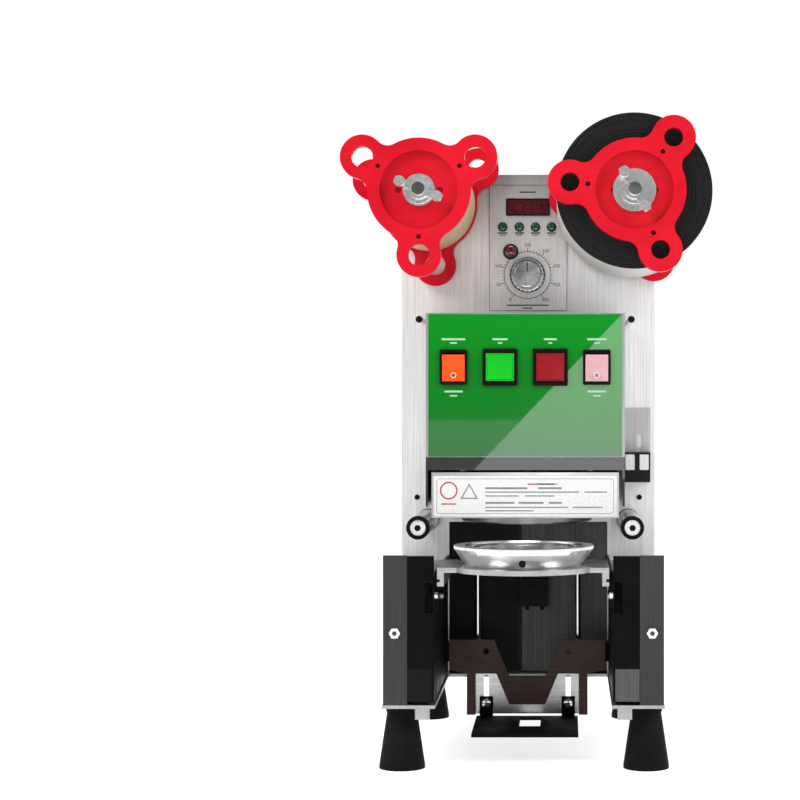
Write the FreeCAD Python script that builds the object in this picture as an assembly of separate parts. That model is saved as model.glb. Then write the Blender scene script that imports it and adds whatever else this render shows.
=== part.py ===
"""Counter-top cup sealing machine: frame, film rolls, press head and cup carriage.

Millimetres. +Z is up, +X is the operator's right, the operator stands on -Y.
The origin is the middle of the footprint, on the surface that the feet stand on.
"""
import FreeCAD, Part
import math
import os

V = FreeCAD.Vector

# ---------------------------------------------------------------- driving dimensions
# Cabinet
CABINET_HALF_W = 126.3
CABINET_TOP = 559.0
BASE_TOP = 60.0
BASE_T = 3.0
SHEET = 1.5
PANEL_FACE = 54.0
REAR_FACE = 202.0
INLET_FACE = 204.0
BAY_HALF_W = 79.0
BAY_TOP = 212.0

# Columns in front of the cabinet
COLUMN_FRONT = -150.0
COLUMN_HALF_W = 125.5
COLUMN_INNER = 104.0
COLUMN_TOP = 194.0
COLUMN_ROOF = 174.0
GUARD_INNER = 80.0
GUARD_LOW = 63.0

# Feet
FOOT_TOP_R = 12.7
FOOT_LOW_R = 20.7
FOOT_H = 57.0
FRONT_FOOT = (110.5, -124.0)
REAR_FOOT = (106.5, 161.0)

# Press head
HEAD_FRONT = -82.0
HOUSING_HALF_W = 92.6
HOUSING_LOW = 280.0
HOUSING_TOP = 414.0
COVER_HALF_W = 87.0
COVER_LOW = 223.5
COVER_TOP = 265.8
PRESS_Y = -18.0
DIE_R = 62.5
DIE_LOW = 217.5
POST_X = 62.0
POST_R = 7.0
CRANK_Z = 340.0
CRANK_R = 14.0
CRANK_START = math.radians(30)
PIN_R = 5.0
YOKE_GAP = 0.35

# Controls on the fascia
CONTROL_Z = 363.5
ROCKER_X = 66.5
BUTTON_X = 23.3
ROCKER_TILT = 7.0
LED_X = (-25.5, -8.8, 7.3, 23.3)
KNOB_X = -0.6
KNOB_Z = 458.6

# Film rolls
ROLL_Z = 528.0
TAKEUP_X = -98.5
SUPPLY_X = 101.5
SHAFT_R = 6.0
HUB_R = 18.9
FLANGE_R = 48.0
LOBE_CIRCLE = 60.4
LOBE_R = 20.6
LOBE_FILLET = 12.0
DISH_R = 36.2
DISH_DEPTH = 5.0
FILM_FRONT = -78.0
FILM_BACK = 42.0
FRONT_FLANGE_T = 10.0
BACK_FLANGE_T = 8.0
TAKEUP_ANGLE = 30.0
BACK_TURN = 6.0
SUPPLY_ANGLE = 53.3
TAKEUP_FILM_R = 46.0
REACH = -TAKEUP_X + LOBE_CIRCLE * math.cos(math.radians(TAKEUP_ANGLE - BACK_TURN)) + LOBE_R
SUPPLY_FILM_R = REACH - SUPPLY_X

# Film path
ROLLER_X = 99.5
ROLLER_Z = 214.5
ROLLER_R = 10.5
AXLE_R = 4.0
GUIDE_PIN_X = 98.5
GUIDE_PIN_Z = 408.0
GUIDE_PIN_R = 3.3
SENSOR_X = (95.0, 121.0)

# Cup carriage, drawn out to its loading place
RING_Y = -138.0
RING_R = 63.0
RING_FOOT_R = 51.5
RING_LIP = 2.5
FLARE_STEPS = 8
FLARE_POWER = 0.85
RING_TOP = 202.5
SEAT_R = 48.0
CUP_BORE_R = 45.5
RING_SCREW_CIRCLE = 49.4
SET_SCREW_Z = 190.0
PLATE_LOW = 180.0
PLATE_TOP = 184.4
PLATE_NOSE_R = 66.0
PLATE_HALF_W = 76.0
PLATE_SHOULDER_Y = -168.0
PLATE_BACK_Y = -74.0
SLIDER_INNER = 70.0

# Cup rest and its frame
ROD_X = 49.5
ROD_Y = 33.0
ROD_R = 3.0
ROD_TOP = 176.0
PHENOLIC = (6.0, 12.0)
SLOT_PLATE = (12.0, 14.0)
SLOT_X = 40.0
SLOT_W = 5.0
REST_TOP = 26.0
REST_HALF_W = 49.3

RUN = 0.05   # radial running clearance of a shaft in its bearing
GAP = 0.3    # clearance between sliding faces


# ---------------------------------------------------------------- shape helpers
def box(x, y, z):
    """Block between the given (low, high) pairs."""
    return Part.makeBox(x[1] - x[0], y[1] - y[0], z[1] - z[0], V(x[0], y[0], z[0]))


def block(cx, half_w, y, cz, half_h):
    """Block centred on (cx, cz) in the front view."""
    return box((cx - half_w, cx + half_w), y, (cz - half_h, cz + half_h))


def rod_x(r, y, z, x):
    return Part.makeCylinder(r, x[1] - x[0], V(x[0], y, z), V(1, 0, 0))


def rod_y(r, x, z, y):
    return Part.makeCylinder(r, y[1] - y[0], V(x, y[0], z), V(0, 1, 0))


def rod_z(r, x, y, z):
    return Part.makeCylinder(r, z[1] - z[0], V(x, y, z[0]), V(0, 0, 1))


def prism_y(points, y):
    """Front-view outline (x, z) given thickness along Y."""
    ring = [V(px, y[0], pz) for px, pz in points]
    return Part.Face(Part.makePolygon(ring + ring[:1])).extrude(V(0, y[1] - y[0], 0))


def prism_x(points, x):
    """Side-view outline (y, z) given width along X."""
    ring = [V(x[0], py, pz) for py, pz in points]
    return Part.Face(Part.makePolygon(ring + ring[:1])).extrude(V(x[1] - x[0], 0, 0))


def turned(points, x, y):
    """Solid of revolution about the vertical line through (x, y), from (radius, z) points."""
    ring = [V(x + r, y, z) for r, z in points]
    return Part.Face(Part.makePolygon(ring + ring[:1])).revolve(V(x, y, 0), V(0, 0, 1), 360)


def mirrored(shape):
    """The shape and its twin on the other side of the machine."""
    return [shape, shape.mirror(V(0, 0, 0), V(1, 0, 0))]


def union(shapes):
    first, *rest = shapes
    return first.fuse(rest).removeSplitter() if rest else first


def minus(shape, tools):
    return shape.cut(Part.makeCompound(tools))


def slot_y(x, z, width, y):
    """Upright slot with round ends, cut along Y. z is its (low, high)."""
    r = width / 2
    return union([box((x - r, x + r), y, (z[0] + r, z[1] - r)),
                  rod_y(r, x, z[0] + r, y), rod_y(r, x, z[1] - r, y)])


def polar(x, z, radius, degrees):
    a = math.radians(degrees)
    return x + radius * math.cos(a), z + radius * math.sin(a)


def hex_prism_y(r, x, z, y):
    return prism_y([polar(x, z, r, 60 * k) for k in range(6)], y)


def export(node, shapes):
    solids = shapes if isinstance(shapes, list) else [shapes]
    shape = solids[0] if len(solids) == 1 else Part.makeCompound(solids)
    shape.exportStep("parts/" + node + ".step")


# ---------------------------------------------------------------- fastener places
COVER_SCREW_X = 116.0
COVER_SCREWS = [(s * COVER_SCREW_X, z) for s in (-1, 1) for z in (80.0, 309.0, 540.0)]
PANEL_SCREWS = [(s * 111.0, 236.7) for s in (-1, 1)]
COLUMN_BOLTS = [(s * 115.0, 124.6) for s in (-1, 1)]
SCREW_R = 2.0


# ---------------------------------------------------------------- cabinet
def cabinet_shell():
    outer = box((-CABINET_HALF_W, CABINET_HALF_W), (PANEL_FACE + SHEET, REAR_FACE - SHEET),
                (BASE_TOP, CABINET_TOP))
    inner_w = CABINET_HALF_W - SHEET
    inner = box((-inner_w, inner_w), (PANEL_FACE, REAR_FACE), (BASE_TOP - 1, CABINET_TOP - SHEET))
    tabs = [block(x, 9, (REAR_FACE - 3 * SHEET, REAR_FACE - SHEET), z, 8) for x, z in COVER_SCREWS]
    pilots = [rod_y(SCREW_R, x, z, (REAR_FACE - 10, REAR_FACE)) for x, z in COVER_SCREWS]
    return minus(union([outer.cut(inner)] + tabs), pilots)


def front_panel():
    face = (PANEL_FACE, PANEL_FACE + SHEET)
    deep = (PANEL_FACE - 1, PANEL_FACE + SHEET + 1)
    sheet = box((-CABINET_HALF_W, CABINET_HALF_W), face, (BASE_TOP, CABINET_TOP))
    holes = [box((-BAY_HALF_W, BAY_HALF_W), deep, (BASE_TOP - 1, BAY_TOP)),
             box((-33, 33), deep, (440, 540)),
             box((-44, 44), deep, (296, 384))]
    holes += [rod_y(SHAFT_R + 3, x, ROLL_Z, deep) for x in (TAKEUP_X, SUPPLY_X)]
    holes += [rod_y(AXLE_R, s * ROLLER_X, ROLLER_Z, deep) for s in (-1, 1)]
    holes += [rod_y(GUIDE_PIN_R, s * GUIDE_PIN_X, GUIDE_PIN_Z, deep) for s in (-1, 1)]
    holes += [rod_y(SCREW_R, x, z, deep) for x, z in PANEL_SCREWS]
    return minus(sheet, holes)


def rear_cover():
    face = (REAR_FACE - SHEET, REAR_FACE)
    deep = (face[0] - 1, face[1] + 1)
    sheet = box((-CABINET_HALF_W, CABINET_HALF_W), face, (BASE_TOP, CABINET_TOP))
    vents = [slot_y(x, (z, z + 40), 5, deep) for z in (200, 400) for x in range(-60, 61, 15)]
    vents.append(block(70, 15, deep, 100, 11))
    vents += [rod_y(SCREW_R, x, z, deep) for x, z in COVER_SCREWS]
    return minus(sheet, vents)


def base_plate():
    plate = box((-CABINET_HALF_W, CABINET_HALF_W), (COLUMN_FRONT, REAR_FACE),
                (BASE_TOP - BASE_T, BASE_TOP))
    throat = box((-BAY_HALF_W, BAY_HALF_W), (COLUMN_FRONT - 1, PANEL_FACE),
                 (BASE_TOP - BASE_T - 1, BASE_TOP + 1))
    tab = box((84, 97), (COLUMN_FRONT + 2, COLUMN_FRONT + SHEET + 2), (47, BASE_TOP - BASE_T))
    return union([plate.cut(throat)] + mirrored(tab))


def columns():
    """Stainless outer skins of the two columns that carry the carriage rails."""
    front = box((COLUMN_INNER, COLUMN_HALF_W), (COLUMN_FRONT, COLUMN_FRONT + SHEET),
                (BASE_TOP, COLUMN_TOP))
    side = box((COLUMN_HALF_W - SHEET, COLUMN_HALF_W), (COLUMN_FRONT, PANEL_FACE),
               (BASE_TOP, COLUMN_ROOF))
    roof = box((GUARD_INNER + SHEET, COLUMN_HALF_W), (COLUMN_FRONT + SHEET, PANEL_FACE),
               (COLUMN_ROOF - SHEET, COLUMN_ROOF))
    skin = union([front, side, roof])
    skin = skin.cut(rod_y(SCREW_R, COLUMN_BOLTS[1][0], COLUMN_BOLTS[1][1],
                          (COLUMN_FRONT - 1, COLUMN_FRONT + 3)))
    return mirrored(skin)


def inner_guards():
    """Black folded guards that close the columns towards the cup bay."""
    front = box((GUARD_INNER, COLUMN_INNER), (COLUMN_FRONT, COLUMN_FRONT + SHEET),
                (GUARD_LOW, COLUMN_TOP - 0.6))
    wall = box((GUARD_INNER, GUARD_INNER + SHEET), (COLUMN_FRONT, PANEL_FACE),
               (GUARD_LOW, COLUMN_ROOF))
    notch = box((GUARD_INNER - 1, 88), (COLUMN_FRONT - 1, COLUMN_FRONT + SHEET + 1), (142, 170))
    return mirrored(union([front, wall]).cut(notch))


def feet():
    profile = [(3, 0), (FOOT_LOW_R, 0), (FOOT_LOW_R, 3), (FOOT_TOP_R, FOOT_H), (3, FOOT_H)]
    return [turned(profile, s * x, y) for x, y in (FRONT_FOOT, REAR_FOOT) for s in (-1, 1)]


def mains_inlet():
    """Appliance inlet in the rear cover, with its three blades."""
    x, z = 70.0, 100.0
    flange = block(x, 18, (REAR_FACE, INLET_FACE), z, 13)
    body = block(x, 15, (REAR_FACE - 24, REAR_FACE), z, 11)
    socket = block(x, 12, (REAR_FACE - 16, INLET_FACE + 1), z, 8)
    blades = [block(x + dx, 1, (REAR_FACE - 18, REAR_FACE - 6), z + dz, 2)
              for dx, dz in ((-7, -2), (0, 2), (7, -2))]
    return union([flange.fuse(body).cut(socket)] + blades)


def case_screws():
    heads = [rod_y(4.2, x, z, (REAR_FACE, REAR_FACE + 1.6)) for x, z in COVER_SCREWS]
    heads += [rod_y(2.8, x, z, (PANEL_FACE - 1.2, PANEL_FACE)) for x, z in PANEL_SCREWS]
    heads += [hex_prism_y(5.1, x, z, (COLUMN_FRONT - 3, COLUMN_FRONT)) for x, z in COLUMN_BOLTS]
    shanks = [rod_y(SCREW_R, x, z, (REAR_FACE - 8, REAR_FACE)) for x, z in COVER_SCREWS]
    shanks += [rod_y(SCREW_R, x, z, (PANEL_FACE, PANEL_FACE + 8)) for x, z in PANEL_SCREWS]
    shanks += [rod_y(SCREW_R, x, z, (COLUMN_FRONT, COLUMN_FRONT + 8)) for x, z in COLUMN_BOLTS]
    screws = [head.fuse(shank) for head, shank in zip(heads, shanks)]
    for y, z in ((COLUMN_FRONT + 8, 158.0), (COLUMN_FRONT + 90, 150.0)):
        screws += mirrored(rod_x(4.0, y, z, (GUARD_INNER - 3, GUARD_INNER)))
    return screws


# ---------------------------------------------------------------- electrics
def control_plate():
    face = (PANEL_FACE - 1.2, PANEL_FACE)
    deep = (PANEL_FACE - 3, PANEL_FACE + 1)
    plate = box((-39.2, 39.2), face, (422.7, 549.0))
    holes = [box((-21, 20.5), deep, (519, 534)), rod_y(5, KNOB_X, KNOB_Z, deep),
             rod_y(6.5, -17.4, 482, deep)]
    holes += [rod_y(4, x, 506.6, deep) for x in LED_X]
    return minus(plate, holes)


def display_window():
    return box((-21, 20.5), (PANEL_FACE - 2, PANEL_FACE + 6), (519, 534))


def indicator_lamps():
    lamps = [rod_y(4, x, 506.6, (PANEL_FACE - 2, PANEL_FACE + 6)) for x in LED_X]
    lens = rod_y(6.5, -17.4, 482, (PANEL_FACE - 5, PANEL_FACE + 12))
    return lamps + [lens]


def control_board():
    """Printed board on four pillars behind the control plate, with relay and transformer."""
    y = PANEL_FACE + 18
    board = box((-36, 36), (y, y + 1.6), (432, 546))
    pillars = [rod_y(3, x, z, (PANEL_FACE + SHEET, y)) for x in (-34.5, 34.5) for z in (434, 544)]
    relay = box((-30, -10), (y + 1.6, y + 18), (440, 470))
    transformer = box((0, 34), (y + 1.6, y + 30), (436, 474))
    chip = box((-25, -5), (y + 1.6, y + 5), (490, 520))
    return [union([board] + pillars), relay, transformer, chip]


def potentiometer():
    body = rod_y(9, KNOB_X, KNOB_Z, (PANEL_FACE + SHEET, PANEL_FACE + 13))
    neck = rod_y(5, KNOB_X, KNOB_Z, (PANEL_FACE - 3.5, PANEL_FACE + SHEET))
    bore = rod_y(3 + RUN, KNOB_X, KNOB_Z, (PANEL_FACE - 5, PANEL_FACE + 11))
    return body.fuse(neck).cut(bore)


def temperature_knob():
    front, back = PANEL_FACE - 18, PANEL_FACE - 4
    skirt = rod_y(17, KNOB_X, KNOB_Z, (back - 4, back))
    grip = rod_y(15.8, KNOB_X, KNOB_Z, (front, back - 4))
    flutes = [rod_y(1.2, *polar(KNOB_X, KNOB_Z, 17.4, 15 * k), (front - 1, back + 1))
              for k in range(24)]
    shaft = rod_y(3, KNOB_X, KNOB_Z, (back, PANEL_FACE + 10))
    return union([minus(union([skirt, grip]), flutes), shaft])


def door_switch():
    """Limit switch that feels the carriage when it is pushed home."""
    body = box((-8, 20), (PANEL_FACE - 15, PANEL_FACE + SHEET), (129, 156))
    plunger = rod_y(2, 6, 148, (PANEL_FACE - 20, PANEL_FACE - 15))
    screws = [rod_y(2.2, x, 126, (PANEL_FACE - 2, PANEL_FACE + SHEET)) for x in (-1, 14)]
    return [body.fuse(plunger)] + screws


def bay_wall():
    """Two dark sheets that close the cabinet behind the cup bay."""
    y = (PANEL_FACE + SHEET, PANEL_FACE + 2 * SHEET)
    return [box((-88, -7.5), y, (BASE_TOP + 3, 232)), box((-6.5, 88), y, (BASE_TOP + 3, 232))]


# ---------------------------------------------------------------- press head
def head_housing():
    y = (HEAD_FRONT + SHEET, PANEL_FACE)
    outer = box((-HOUSING_HALF_W, HOUSING_HALF_W), y, (HOUSING_LOW, HOUSING_TOP))
    half = HOUSING_HALF_W - SHEET
    inner = box((-half, half), (y[0] + SHEET, PANEL_FACE + 1), (HOUSING_LOW + SHEET, HOUSING_TOP - SHEET))
    window = box((-84, 84), (y[0] - 1, y[0] + SHEET + 1), (HOUSING_LOW + 10, HOUSING_TOP - 10))
    below = (HOUSING_LOW - 1, HOUSING_LOW + SHEET + 1)
    throat = box((-30, 30), (-10, 8), below)
    bores = [rod_z(11, s * POST_X, PRESS_Y, below) for s in (-1, 1)]
    return minus(outer, [inner, window, throat] + bores)


def fascia():
    y = (HEAD_FRONT, HEAD_FRONT + SHEET)
    deep = (HEAD_FRONT - 1, HEAD_FRONT + SHEET + 1)
    sheet = box((-90, 90), y, (HOUSING_LOW + 0.4, HOUSING_TOP - 1.2))
    holes = [block(s * ROCKER_X, 11.8, deep, CONTROL_Z, 14.2) for s in (-1, 1)]
    holes += [block(s * BUTTON_X, 14.8, deep, CONTROL_Z, 14.8) for s in (-1, 1)]
    return minus(sheet, holes)


def guide_block():
    """Black block under the housing that carries the post bushes, with side skirts."""
    y = (HEAD_FRONT + 2, PANEL_FACE)
    plate = box((-92.5, 92.5), y, (268, HOUSING_LOW))
    skirt = box((90.5, 92.5), y, (234, 268))
    tools = [box((-30, 30), (-10, 8), (267, 281))]
    tools += [rod_z(11, s * POST_X, PRESS_Y, (267, 281)) for s in (-1, 1)]
    return minus(union([plate] + mirrored(skirt)), tools)


def post_bushes():
    top = HOUSING_LOW + SHEET
    bush = turned([(POST_R + RUN, 268), (11, 268), (11, top), (15, top), (15, top + 5),
                   (11, top + 5), (11, 306), (POST_R + RUN, 306)], POST_X, PRESS_Y)
    return mirrored(bush)


def switch_bodies():
    """Bezels and bodies of the two rocker switches and the two push buttons."""
    bezel = (HEAD_FRONT - 2, HEAD_FRONT)
    body = (HEAD_FRONT, HEAD_FRONT + 30)
    shapes = []
    for s in (-1, 1):
        x = s * ROCKER_X
        shell = block(x, 12.5, bezel, CONTROL_Z, 16).fuse(block(x, 11.8, body, CONTROL_Z, 14.2))
        pocket = block(x, 10.9, (bezel[0] - 1, HEAD_FRONT + 12), CONTROL_Z, 13.3)
        pivot = rod_x(1.5, HEAD_FRONT + 3, CONTROL_Z, (x - 10.9, x + 10.9))
        shapes.append(union([shell.cut(pocket), pivot]))
        x = s * BUTTON_X
        shell = block(x, 16, bezel, CONTROL_Z, 17).fuse(block(x, 14.8, body, CONTROL_Z, 14.8))
        shapes.append(shell.cut(block(x, 13 + GAP, (bezel[0] - 1, HEAD_FRONT + 12), CONTROL_Z,
                                      12.75 + GAP)))
    return shapes


def rocker(x):
    """Two-faced rocker, drawn with its upper half pressed in."""
    pivot_y = HEAD_FRONT + 3
    deep, lip = 7.0, 5.6
    outline = [(-lip, 0), (-lip - 1.5, -12.3), (0, -12.3), (deep, -9.5), (deep, 9.5), (0, 12.3),
               (-lip - 1.5, 12.3)]
    cap = prism_x([(pivot_y + py, CONTROL_Z + pz) for py, pz in outline], (x - 10.5, x + 10.5))
    cap = cap.cut(rod_x(1.5 + RUN, pivot_y, CONTROL_Z, (x - 11, x + 11)))
    cap.rotate(V(x, pivot_y, CONTROL_Z), V(1, 0, 0), ROCKER_TILT)
    return cap


def push_button(x):
    return block(x, 13, (HEAD_FRONT - 5, HEAD_FRONT + 8), CONTROL_Z, 12.75)


def seal_gearmotor():
    """Gearbox on the back of the panel with its motor behind it."""
    y = PANEL_FACE + SHEET
    plate = box((-52, 52), (y, y + 4), (290, 392))
    gearbox = box((-38, 38), (y + 4, y + 52), (302, 382))
    motor = rod_y(30, 0, CRANK_Z + 4, (y + 52, REAR_FACE - 12))
    bore = rod_y(8 + RUN, 0, CRANK_Z, (y - 1, y + 40))
    return union([plate, gearbox, motor]).cut(bore)


def crank():
    """Crank disc, pin and shaft. The pin stands 30 degrees above the level line at rest."""
    disc = rod_y(22, 0, CRANK_Z, (3, 11))
    shaft = rod_y(8, 0, CRANK_Z, (11, PANEL_FACE + 38))
    px, pz = polar(0, CRANK_Z, CRANK_R, math.degrees(CRANK_START))
    pin = rod_y(PIN_R, px, pz, (-7, 3))
    return union([disc, shaft, pin])


def yoke():
    """Slotted plate on the head that turns the crank pin's circle into a straight press stroke."""
    y = (-4.0, 2.0)
    pin_x, pin_z = polar(0, CRANK_Z, CRANK_R, math.degrees(CRANK_START))
    plate = box((-26, 26), y, (COVER_TOP, pin_z + 16))
    foot = box((-26, 26), (-8, 6), (COVER_TOP, COVER_TOP + 2))
    half = PIN_R + YOKE_GAP
    deep = (y[0] - 1, y[1] + 1)
    low_x, high_x = pin_x - 4, CRANK_R + 4
    slot = union([box((low_x, high_x), deep, (pin_z - half, pin_z + half)),
                  rod_y(half, low_x, pin_z, deep), rod_y(half, high_x, pin_z, deep)])
    return union([plate, foot]).cut(slot)


def heater_cover():
    y = (HEAD_FRONT + 0.8, PANEL_FACE - 8)
    outer = box((-COVER_HALF_W, COVER_HALF_W), y, (COVER_LOW, COVER_TOP))
    half = COVER_HALF_W - SHEET
    inner = box((-half, half), (y[0] + SHEET, y[1] - SHEET), (COVER_LOW - 1, COVER_TOP - SHEET))
    bores = [rod_z(POST_R, s * POST_X, PRESS_Y, (COVER_TOP - 3, COVER_TOP + 1)) for s in (-1, 1)]
    return minus(outer, [inner] + bores)


def label_plate():
    return box((-85, 85), (HEAD_FRONT, HEAD_FRONT + 0.8), (225, 262.5))


def head_plate():
    top = COVER_TOP - SHEET
    half = COVER_HALF_W - SHEET
    y = (HEAD_FRONT + 0.8 + SHEET, PANEL_FACE - 8 - SHEET)
    plate = box((-half, half), y, (top - 8, top))
    return minus(plate, [rod_z(POST_R, s * POST_X, PRESS_Y, (top - 9, top + 1)) for s in (-1, 1)])


def guide_posts():
    low = COVER_TOP - SHEET - 8
    return mirrored(rod_z(POST_R, POST_X, PRESS_Y, (low, 384)))


def heater_block():
    top = COVER_TOP - SHEET - 8
    solid = box((-66, 66), (PRESS_Y - 58, PRESS_Y + 58), (DIE_LOW + 8, top))
    heaters = [rod_x(5, PRESS_Y + dy, 240, (-70, 70)) for dy in (-30, 30)]
    return minus(solid, heaters)


def sealing_die():
    return turned([(0, DIE_LOW + 1.5), (40, DIE_LOW + 1.5), (42, DIE_LOW), (DIE_R - 1.5, DIE_LOW),
                   (DIE_R, DIE_LOW + 1.5), (DIE_R, COVER_LOW - GAP), (DIE_R - 3, COVER_LOW - GAP),
                   (DIE_R - 3, DIE_LOW + 8), (0, DIE_LOW + 8)], 0, PRESS_Y)


# ---------------------------------------------------------------- film rolls
def lobe_fillets(x, z, degrees, y):
    """Webs that blend one lobe into the flange rim with a round on each side."""
    rim = FLANGE_R + LOBE_FILLET
    lobe = LOBE_R + LOBE_FILLET
    turn = math.degrees(math.acos((rim ** 2 + LOBE_CIRCLE ** 2 - lobe ** 2)
                                  / (2 * rim * LOBE_CIRCLE)))
    tip = polar(x, z, LOBE_CIRCLE, degrees)
    webs = []
    for side in (-1, 1):
        centre = polar(x, z, rim, degrees + side * turn)
        web = prism_y([(x, z), centre, tip], y)
        webs.append(web.cut(rod_y(LOBE_FILLET, *centre, y)))
    return webs


def flange(x, y, first_angle, hole_r, hub_towards):
    """Three-lobed roll flange with a recessed dish and a hub that centres the film core."""
    z = ROLL_Z
    angles = [first_angle + 120 * k for k in range(3)]
    parts = [rod_y(FLANGE_R, x, z, y)]
    for a in angles:
        parts.append(rod_y(LOBE_R, *polar(x, z, LOBE_CIRCLE, a), y))
        parts += lobe_fillets(x, z, a, y)
    hub_y = (y[1], y[1] + 10) if hub_towards > 0 else (y[0] - 10, y[0])
    body = union(parts + [rod_y(HUB_R, x, z, hub_y)])
    through = (min(y[0], hub_y[0]) - 1, max(y[1], hub_y[1]) + 1)
    tools = [rod_y(SHAFT_R, x, z, through)]
    tools += [rod_y(hole_r, *polar(x, z, LOBE_CIRCLE, a), through) for a in angles]
    tools += [rod_y(2.2, *polar(x, z, 43.7, a), through) for a in angles]
    tools += [rod_y(2.8, x + dx, z, (y[0] - 1, y[0] + 9)) for dx in (-19.4, 19.4)]
    if hub_towards > 0:
        tools.append(rod_y(DISH_R, x, z, (y[0] - 1, y[0] + DISH_DEPTH)))
    return minus(body, tools)


def front_flange(x, first_angle, hole_r):
    return flange(x, (FILM_FRONT - FRONT_FLANGE_T, FILM_FRONT), first_angle, hole_r, 1)


def back_flange(x, first_angle, hole_r):
    return flange(x, (FILM_BACK, FILM_BACK + BACK_FLANGE_T), first_angle, hole_r, -1)


def film(x, radius):
    y = (FILM_FRONT, FILM_BACK)
    return rod_y(radius, x, ROLL_Z, y).cut(rod_y(HUB_R, x, ROLL_Z, y))


def roll_shaft(x):
    """Shaft with a coupling sleeve at its inner end."""
    front = FILM_FRONT - FRONT_FLANGE_T - 10
    sleeve_y = PANEL_FACE + SHEET + 16
    shaft = rod_y(SHAFT_R, x, ROLL_Z, (front, sleeve_y))
    sleeve = rod_y(9, x, ROLL_Z, (sleeve_y, sleeve_y + 14))
    return union([shaft, sleeve]).cut(rod_y(3 + RUN, x, ROLL_Z, (sleeve_y + 2, sleeve_y + 15)))


def roll_bearings():
    y = PANEL_FACE + SHEET
    shapes = []
    for x in (TAKEUP_X, SUPPLY_X):
        body = rod_y(22, x, ROLL_Z, (y, y + 5)).fuse(rod_y(14, x, ROLL_Z, (y + 5, y + 15)))
        shapes.append(body.cut(rod_y(SHAFT_R + RUN, x, ROLL_Z, (y - 1, y + 16))))
    return shapes


def takeup_motor():
    """Small motor that winds the used film up. Its shaft turns inside the coupling sleeve."""
    y = PANEL_FACE + SHEET + 31
    body = rod_y(19, TAKEUP_X, ROLL_Z, (y, y + 60))
    shaft = rod_y(3, TAKEUP_X, ROLL_Z, (y - 12, y))
    bracket = box((-124.8, TAKEUP_X + 20), (y + 5, y + 8), (506, 550))
    bracket = bracket.cut(rod_y(19, TAKEUP_X, ROLL_Z, (y, y + 10)))
    return [union([body, shaft]), bracket]


def wing_nut(x, washer_r, degrees):
    """Wing nut and washer in the flange dish."""
    y0 = FILM_FRONT - FRONT_FLANGE_T + DISH_DEPTH - GAP
    washer = rod_y(washer_r, x, ROLL_Z, (y0 - 1.5, y0))
    hub = rod_y(13, x, ROLL_Z, (y0 - 4.5, y0 - 1.5)).fuse(rod_y(9, x, ROLL_Z, (y0 - 10, y0 - 4.5)))
    wings = [block(x, 23.5, (y0 - 11, y0 - 6), ROLL_Z, 3.2)]
    wings += [rod_y(5, x + s * 18.5, ROLL_Z, (y0 - 14, y0 - 6)) for s in (-1, 1)]
    body = union([hub] + wings)
    body.rotate(V(x, 0, ROLL_Z), V(0, -1, 0), degrees)
    bore = rod_y(SHAFT_R + RUN, x, ROLL_Z, (y0 - 20, y0 + 1))
    return [body.cut(bore), washer.cut(bore)]


# ---------------------------------------------------------------- film path
def guide_roller(side):
    y = (HEAD_FRONT - 2, PANEL_FACE - 4)
    sleeve = rod_y(ROLLER_R, side * ROLLER_X, ROLLER_Z, y)
    return sleeve.cut(rod_y(AXLE_R + RUN, side * ROLLER_X, ROLLER_Z, y))


def film_guide_pins():
    """Roller axles with their end bolts, and the two upper film pins."""
    front = HEAD_FRONT - 2 - GAP
    axle = rod_y(AXLE_R, ROLLER_X, ROLLER_Z, (front, PANEL_FACE + 8))
    collar = rod_y(8, ROLLER_X, ROLLER_Z, (PANEL_FACE - 4 + GAP, PANEL_FACE))
    bolt = hex_prism_y(7, ROLLER_X, ROLLER_Z, (front - 3.5, front))
    pin = rod_y(GUIDE_PIN_R, GUIDE_PIN_X, GUIDE_PIN_Z, (HEAD_FRONT, PANEL_FACE + 8))
    return mirrored(union([axle, collar, bolt])) + mirrored(pin)


def film_sensor():
    """Optical mark sensor: slotted bracket, clear lens block and black base."""
    plate = box((SENSOR_X[0], SENSOR_X[1] + 1), (PANEL_FACE - 2, PANEL_FACE), (252, 326))
    hole = slot_y(112, (286, 300), 6, (PANEL_FACE - 3, PANEL_FACE + 1))
    y = (PANEL_FACE - 25, PANEL_FACE - 2)
    return [plate.cut(hole), box(SENSOR_X, y, (263, 281.5)), box(SENSOR_X, y, (252.5, 263))]


# ---------------------------------------------------------------- cup carriage
def cup_ring():
    rise = RING_TOP - RING_LIP - PLATE_TOP
    flare = [(RING_FOOT_R + (RING_R - RING_FOOT_R) * (k / FLARE_STEPS) ** FLARE_POWER,
              PLATE_TOP + rise * k / FLARE_STEPS) for k in range(FLARE_STEPS + 1)]
    profile = [(CUP_BORE_R, PLATE_TOP)] + flare + [
               (RING_R, RING_TOP), (SEAT_R + 5, RING_TOP),
               (SEAT_R + 4, RING_TOP - 1), (SEAT_R, RING_TOP - 1), (SEAT_R, RING_TOP - 4),
               (CUP_BORE_R, RING_TOP - 4)]
    ring = turned(profile, 0, RING_Y)
    return ring.cut(rod_y(3.1, 0, SET_SCREW_Z, (RING_Y - RING_R - 1, RING_Y - CUP_BORE_R - 3)))


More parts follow.
